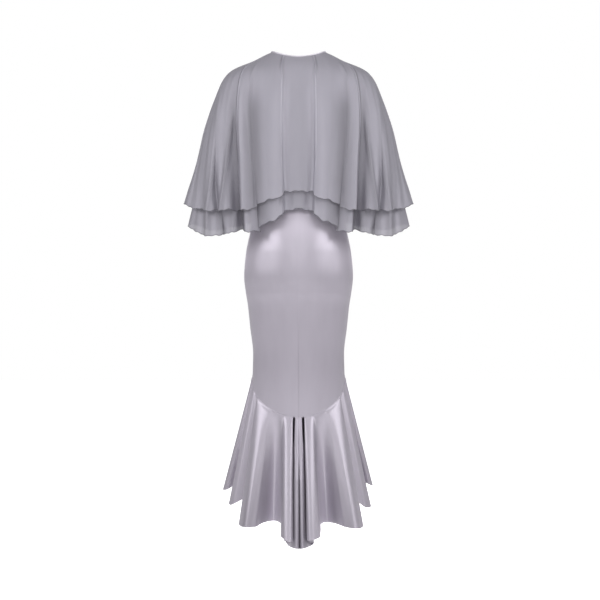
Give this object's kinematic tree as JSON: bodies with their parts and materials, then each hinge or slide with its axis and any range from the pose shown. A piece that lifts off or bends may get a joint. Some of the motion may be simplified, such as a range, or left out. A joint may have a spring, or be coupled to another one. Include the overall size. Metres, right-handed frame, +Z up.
{
  "type": "midi dress",
  "caption": "Fitted midi dress with a dipped fishtail flounce, a centre back pleat and a two-tier sheer cape, held open as if worn.",
  "frame": {"origin": "centre of the neck opening, level with the tops of the side neck", "axes": "+Z up out of the neck, +Y towards the dress's front, +X towards the wearer's right as seen from behind"},
  "size_m": [0.656, 0.4217, 1.3813],
  "materials": {
    "satin": "lilac grey satin with a soft sheen",
    "chiffon": "matt lilac grey chiffon, slightly sheer",
    "binding": "pale lilac grey satin strip"
  },
  "bodies": {
    "root": {"body_front": "satin", "body_back_left": "satin", "body_back_right": "satin", "flounce_front": "satin", "flounce_back_left": "satin", "flounce_back_right": "satin", "cape_upper_back": "chiffon", "cape_upper_front": "chiffon", "cape_upper_sleeve_left": "chiffon", "cape_upper_sleeve_right": "chiffon", "cape_lower_back": "chiffon", "cape_lower_front": "chiffon", "cape_lower_sleeve_left": "chiffon", "cape_lower_sleeve_right": "chiffon", "neck_binding": "binding"}
  },
  "joints": []
}
